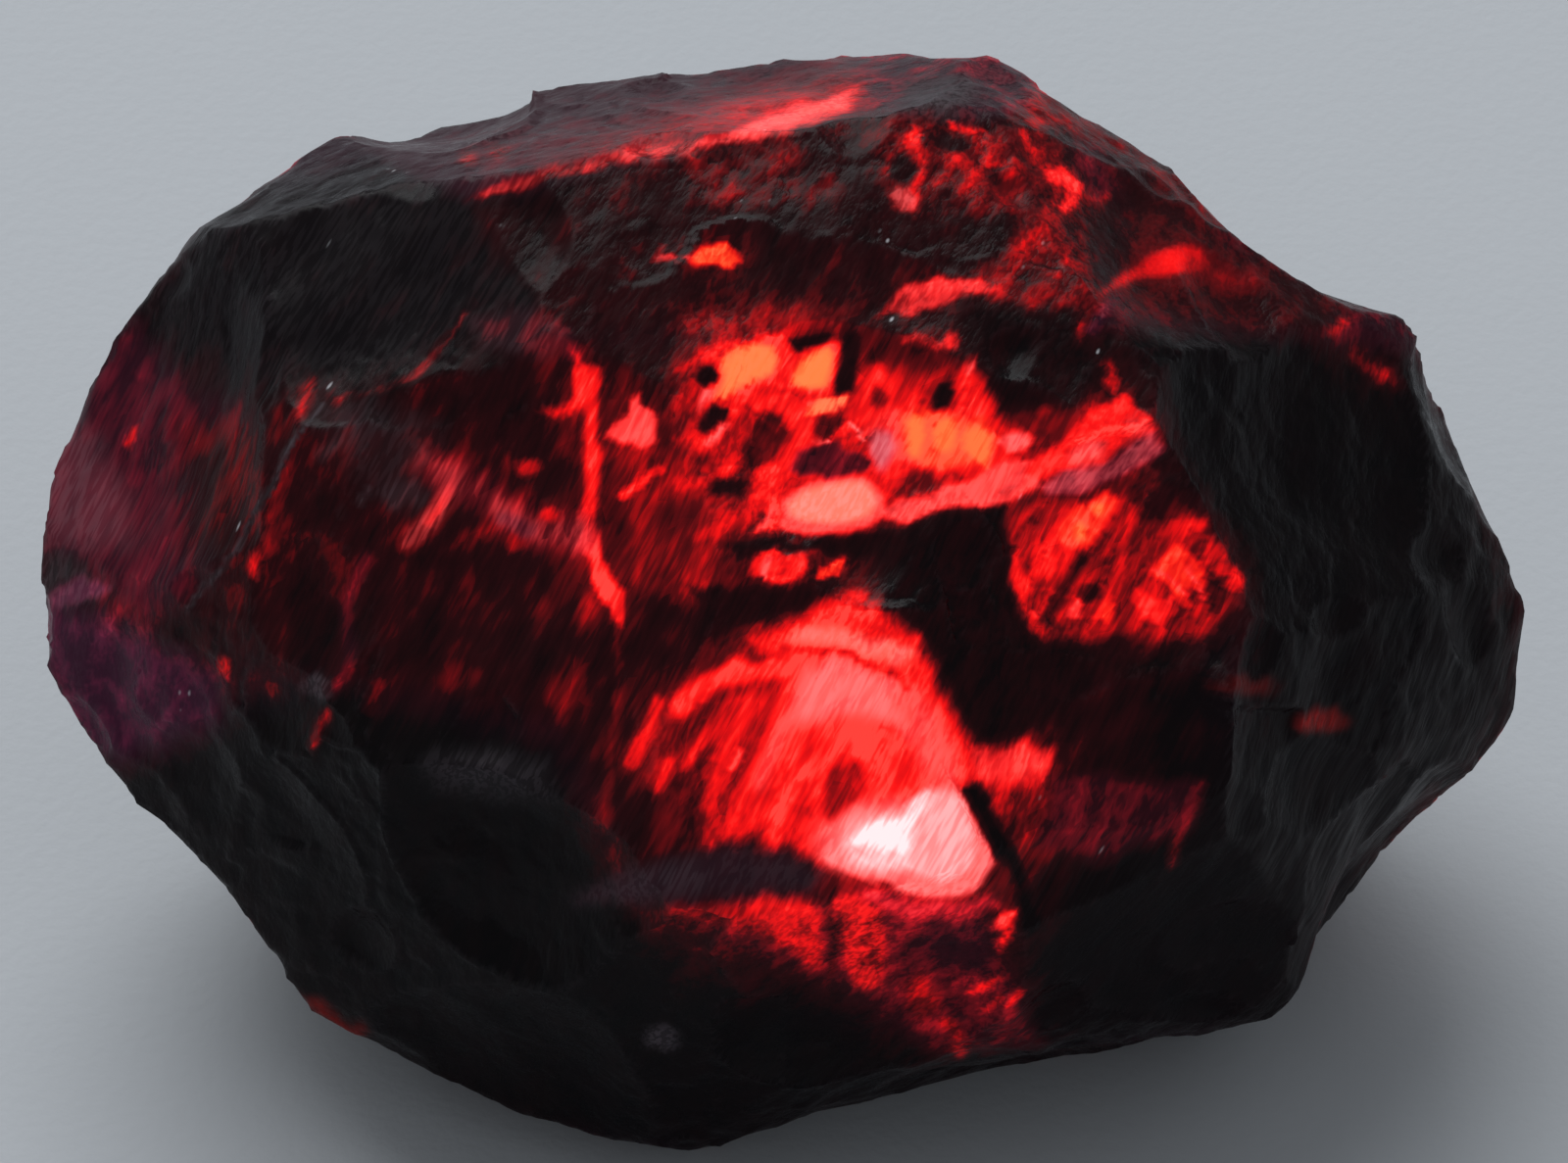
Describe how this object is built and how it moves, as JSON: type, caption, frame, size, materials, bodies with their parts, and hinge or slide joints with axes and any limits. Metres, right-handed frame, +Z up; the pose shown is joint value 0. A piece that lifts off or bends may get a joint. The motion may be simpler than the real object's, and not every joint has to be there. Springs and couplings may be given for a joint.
{
  "type": "rough painite gemstone",
  "caption": "Rough dark red gem crystal, a broken lump with shell-shaped scars and a glowing broad face, standing on a flat break.",
  "frame": {"origin": "middle of the footprint, on the flat break that the stone rests on", "axes": "+X along the stone's length, +Y to its back, +Z up; the broad face leans back, facing between -Y and +Z"},
  "size_m": [0.022, 0.0154, 0.0133],
  "materials": {
    "painite": "glassy broken crystal, nearly black red with scarlet light inside"
  },
  "bodies": {
    "root": {"painite_rough": "painite"}
  },
  "joints": []
}
